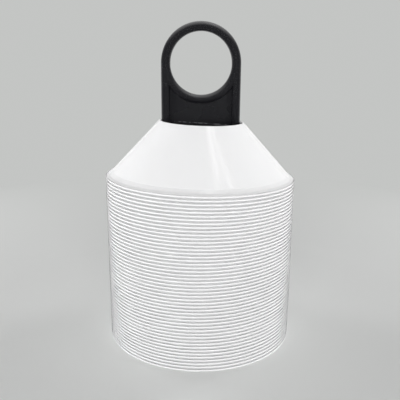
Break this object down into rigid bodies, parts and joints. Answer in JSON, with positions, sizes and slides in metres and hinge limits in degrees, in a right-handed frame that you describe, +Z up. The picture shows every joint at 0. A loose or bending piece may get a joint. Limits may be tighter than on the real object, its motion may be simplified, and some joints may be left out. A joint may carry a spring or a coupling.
{
  "type": "marker disc set on a ring carrier",
  "caption": "Nested saucer-shaped marker discs stacked on an upright carrier with a round ring handle; the discs lift off over the ring.",
  "frame": {"origin": "on the ground, on the vertical axis of the stack", "axes": "+Z up along the stack's axis; the ring handle lies in the XZ plane and faces -Y"},
  "size_m": [0.19, 0.19, 0.3143],
  "materials": {
    "disc_plastic": "smooth semi-gloss moulded plastic, white",
    "carrier_plastic": "satin moulded plastic, black"
  },
  "bodies": {
    "carrier": {"carrier_upright": "carrier_plastic", "base_plate": "carrier_plastic"},
    "disc_01": {"marker_disc_01": "disc_plastic"},
    "disc_02": {"marker_disc_02": "disc_plastic"},
    "disc_03": {"marker_disc_03": "disc_plastic"},
    "disc_04": {"marker_disc_04": "disc_plastic"},
    "disc_05": {"marker_disc_05": "disc_plastic"},
    "disc_06": {"marker_disc_06": "disc_plastic"},
    "disc_07": {"marker_disc_07": "disc_plastic"},
    "disc_08": {"marker_disc_08": "disc_plastic"},
    "disc_09": {"marker_disc_09": "disc_plastic"},
    "disc_10": {"marker_disc_10": "disc_plastic"},
    "disc_11": {"marker_disc_11": "disc_plastic"},
    "disc_12": {"marker_disc_12": "disc_plastic"},
    "disc_13": {"marker_disc_13": "disc_plastic"},
    "disc_14": {"marker_disc_14": "disc_plastic"},
    "disc_15": {"marker_disc_15": "disc_plastic"},
    "disc_16": {"marker_disc_16": "disc_plastic"},
    "disc_17": {"marker_disc_17": "disc_plastic"},
    "disc_18": {"marker_disc_18": "disc_plastic"},
    "disc_19": {"marker_disc_19": "disc_plastic"},
    "disc_20": {"marker_disc_20": "disc_plastic"},
    "disc_21": {"marker_disc_21": "disc_plastic"},
    "disc_22": {"marker_disc_22": "disc_plastic"},
    "disc_23": {"marker_disc_23": "disc_plastic"},
    "disc_24": {"marker_disc_24": "disc_plastic"},
    "disc_25": {"marker_disc_25": "disc_plastic"},
    "disc_26": {"marker_disc_26": "disc_plastic"},
    "disc_27": {"marker_disc_27": "disc_plastic"},
    "disc_28": {"marker_disc_28": "disc_plastic"},
    "disc_29": {"marker_disc_29": "disc_plastic"},
    "disc_30": {"marker_disc_30": "disc_plastic"},
    "disc_31": {"marker_disc_31": "disc_plastic"},
    "disc_32": {"marker_disc_32": "disc_plastic"},
    "disc_33": {"marker_disc_33": "disc_plastic"},
    "disc_34": {"marker_disc_34": "disc_plastic"},
    "disc_35": {"marker_disc_35": "disc_plastic"},
    "disc_36": {"marker_disc_36": "disc_plastic"},
    "disc_37": {"marker_disc_37": "disc_plastic"},
    "disc_38": {"marker_disc_38": "disc_plastic"},
    "disc_39": {"marker_disc_39": "disc_plastic"},
    "disc_40": {"marker_disc_40": "disc_plastic"},
    "disc_41": {"marker_disc_41": "disc_plastic"},
    "disc_42": {"marker_disc_42": "disc_plastic"},
    "disc_43": {"marker_disc_43": "disc_plastic"},
    "disc_44": {"marker_disc_44": "disc_plastic"},
    "disc_45": {"marker_disc_45": "disc_plastic"},
    "disc_46": {"marker_disc_46": "disc_plastic"},
    "disc_47": {"marker_disc_47": "disc_plastic"},
    "disc_48": {"marker_disc_48": "disc_plastic"},
    "disc_49": {"marker_disc_49": "disc_plastic"},
    "disc_50": {"marker_disc_50": "disc_plastic"}
  },
  "joints": [
    {"name": "lift_disc_50", "type": "slide", "parent": "disc_49", "child": "disc_50", "axis": [0, 0, 1], "range_m": [0, 0.155]},
    {"name": "lift_disc_49", "type": "slide", "parent": "disc_48", "child": "disc_49", "axis": [0, 0, 1], "range_m": [0, 0.158]},
    {"name": "lift_disc_48", "type": "slide", "parent": "disc_47", "child": "disc_48", "axis": [0, 0, 1], "range_m": [0, 0.162]},
    {"name": "lift_disc_47", "type": "slide", "parent": "disc_46", "child": "disc_47", "axis": [0, 0, 1], "range_m": [0, 0.165]},
    {"name": "lift_disc_46", "type": "slide", "parent": "disc_45", "child": "disc_46", "axis": [0, 0, 1], "range_m": [0, 0.168]},
    {"name": "lift_disc_45", "type": "slide", "parent": "disc_44", "child": "disc_45", "axis": [0, 0, 1], "range_m": [0, 0.172]},
    {"name": "lift_disc_44", "type": "slide", "parent": "disc_43", "child": "disc_44", "axis": [0, 0, 1], "range_m": [0, 0.175]},
    {"name": "lift_disc_43", "type": "slide", "parent": "disc_42", "child": "disc_43", "axis": [0, 0, 1], "range_m": [0, 0.178]},
    {"name": "lift_disc_42", "type": "slide", "parent": "disc_41", "child": "disc_42", "axis": [0, 0, 1], "range_m": [0, 0.182]},
    {"name": "lift_disc_41", "type": "slide", "parent": "disc_40", "child": "disc_41", "axis": [0, 0, 1], "range_m": [0, 0.185]},
    {"name": "lift_disc_40", "type": "slide", "parent": "disc_39", "child": "disc_40", "axis": [0, 0, 1], "range_m": [0, 0.189]},
    {"name": "lift_disc_39", "type": "slide", "parent": "disc_38", "child": "disc_39", "axis": [0, 0, 1], "range_m": [0, 0.192]},
    {"name": "lift_disc_38", "type": "slide", "parent": "disc_37", "child": "disc_38", "axis": [0, 0, 1], "range_m": [0, 0.195]},
    {"name": "lift_disc_37", "type": "slide", "parent": "disc_36", "child": "disc_37", "axis": [0, 0, 1], "range_m": [0, 0.199]},
    {"name": "lift_disc_36", "type": "slide", "parent": "disc_35", "child": "disc_36", "axis": [0, 0, 1], "range_m": [0, 0.202]},
    {"name": "lift_disc_35", "type": "slide", "parent": "disc_34", "child": "disc_35", "axis": [0, 0, 1], "range_m": [0, 0.205]},
    {"name": "lift_disc_34", "type": "slide", "parent": "disc_33", "child": "disc_34", "axis": [0, 0, 1], "range_m": [0, 0.209]},
    {"name": "lift_disc_33", "type": "slide", "parent": "disc_32", "child": "disc_33", "axis": [0, 0, 1], "range_m": [0, 0.212]},
    {"name": "lift_disc_32", "type": "slide", "parent": "disc_31", "child": "disc_32", "axis": [0, 0, 1], "range_m": [0, 0.215]},
    {"name": "lift_disc_31", "type": "slide", "parent": "disc_30", "child": "disc_31", "axis": [0, 0, 1], "range_m": [0, 0.219]},
    {"name": "lift_disc_30", "type": "slide", "parent": "disc_29", "child": "disc_30", "axis": [0, 0, 1], "range_m": [0, 0.222]},
    {"name": "lift_disc_29", "type": "slide", "parent": "disc_28", "child": "disc_29", "axis": [0, 0, 1], "range_m": [0, 0.225]},
    {"name": "lift_disc_28", "type": "slide", "parent": "disc_27", "child": "disc_28", "axis": [0, 0, 1], "range_m": [0, 0.229]},
    {"name": "lift_disc_27", "type": "slide", "parent": "disc_26", "child": "disc_27", "axis": [0, 0, 1], "range_m": [0, 0.232]},
    {"name": "lift_disc_26", "type": "slide", "parent": "disc_25", "child": "disc_26", "axis": [0, 0, 1], "range_m": [0, 0.235]},
    {"name": "lift_disc_25", "type": "slide", "parent": "disc_24", "child": "disc_25", "axis": [0, 0, 1], "range_m": [0, 0.239]},
    {"name": "lift_disc_24", "type": "slide", "parent": "disc_23", "child": "disc_24", "axis": [0, 0, 1], "range_m": [0, 0.242]},
    {"name": "lift_disc_23", "type": "slide", "parent": "disc_22", "child": "disc_23", "axis": [0, 0, 1], "range_m": [0, 0.246]},
    {"name": "lift_disc_22", "type": "slide", "parent": "disc_21", "child": "disc_22", "axis": [0, 0, 1], "range_m": [0, 0.249]},
    {"name": "lift_disc_21", "type": "slide", "parent": "disc_20", "child": "disc_21", "axis": [0, 0, 1], "range_m": [0, 0.252]},
    {"name": "lift_disc_20", "type": "slide", "parent": "disc_19", "child": "disc_20", "axis": [0, 0, 1], "range_m": [0, 0.256]},
    {"name": "lift_disc_19", "type": "slide", "parent": "disc_18", "child": "disc_19", "axis": [0, 0, 1], "range_m": [0, 0.259]},
    {"name": "lift_disc_18", "type": "slide", "parent": "disc_17", "child": "disc_18", "axis": [0, 0, 1], "range_m": [0, 0.262]},
    {"name": "lift_disc_17", "type": "slide", "parent": "disc_16", "child": "disc_17", "axis": [0, 0, 1], "range_m": [0, 0.266]},
    {"name": "lift_disc_16", "type": "slide", "parent": "disc_15", "child": "disc_16", "axis": [0, 0, 1], "range_m": [0, 0.269]},
    {"name": "lift_disc_15", "type": "slide", "parent": "disc_14", "child": "disc_15", "axis": [0, 0, 1], "range_m": [0, 0.272]},
    {"name": "lift_disc_14", "type": "slide", "parent": "disc_13", "child": "disc_14", "axis": [0, 0, 1], "range_m": [0, 0.276]},
    {"name": "lift_disc_13", "type": "slide", "parent": "disc_12", "child": "disc_13", "axis": [0, 0, 1], "range_m": [0, 0.279]},
    {"name": "lift_disc_12", "type": "slide", "parent": "disc_11", "child": "disc_12", "axis": [0, 0, 1], "range_m": [0, 0.282]},
    {"name": "lift_disc_11", "type": "slide", "parent": "disc_10", "child": "disc_11", "axis": [0, 0, 1], "range_m": [0, 0.286]},
    {"name": "lift_disc_10", "type": "slide", "parent": "disc_09", "child": "disc_10", "axis": [0, 0, 1], "range_m": [0, 0.289]},
    {"name": "lift_disc_09", "type": "slide", "parent": "disc_08", "child": "disc_09", "axis": [0, 0, 1], "range_m": [0, 0.292]},
    {"name": "lift_disc_08", "type": "slide", "parent": "disc_07", "child": "disc_08", "axis": [0, 0, 1], "range_m": [0, 0.296]},
    {"name": "lift_disc_07", "type": "slide", "parent": "disc_06", "child": "disc_07", "axis": [0, 0, 1], "range_m": [0, 0.299]},
    {"name": "lift_disc_06", "type": "slide", "parent": "disc_05", "child": "disc_06", "axis": [0, 0, 1], "range_m": [0, 0.303]},
    {"name": "lift_disc_05", "type": "slide", "parent": "disc_04", "child": "disc_05", "axis": [0, 0, 1], "range_m": [0, 0.306]},
    {"name": "lift_disc_04", "type": "slide", "parent": "disc_03", "child": "disc_04", "axis": [0, 0, 1], "range_m": [0, 0.309]},
    {"name": "lift_disc_03", "type": "slide", "parent": "disc_02", "child": "disc_03", "axis": [0, 0, 1], "range_m": [0, 0.313]},
    {"name": "lift_disc_02", "type": "slide", "parent": "disc_01", "child": "disc_02", "axis": [0, 0, 1], "range_m": [0, 0.316]},
    {"name": "lift_disc_01", "type": "slide", "parent": "carrier", "child": "disc_01", "axis": [0, 0, 1], "range_m": [0, 0.319]}
  ]
}
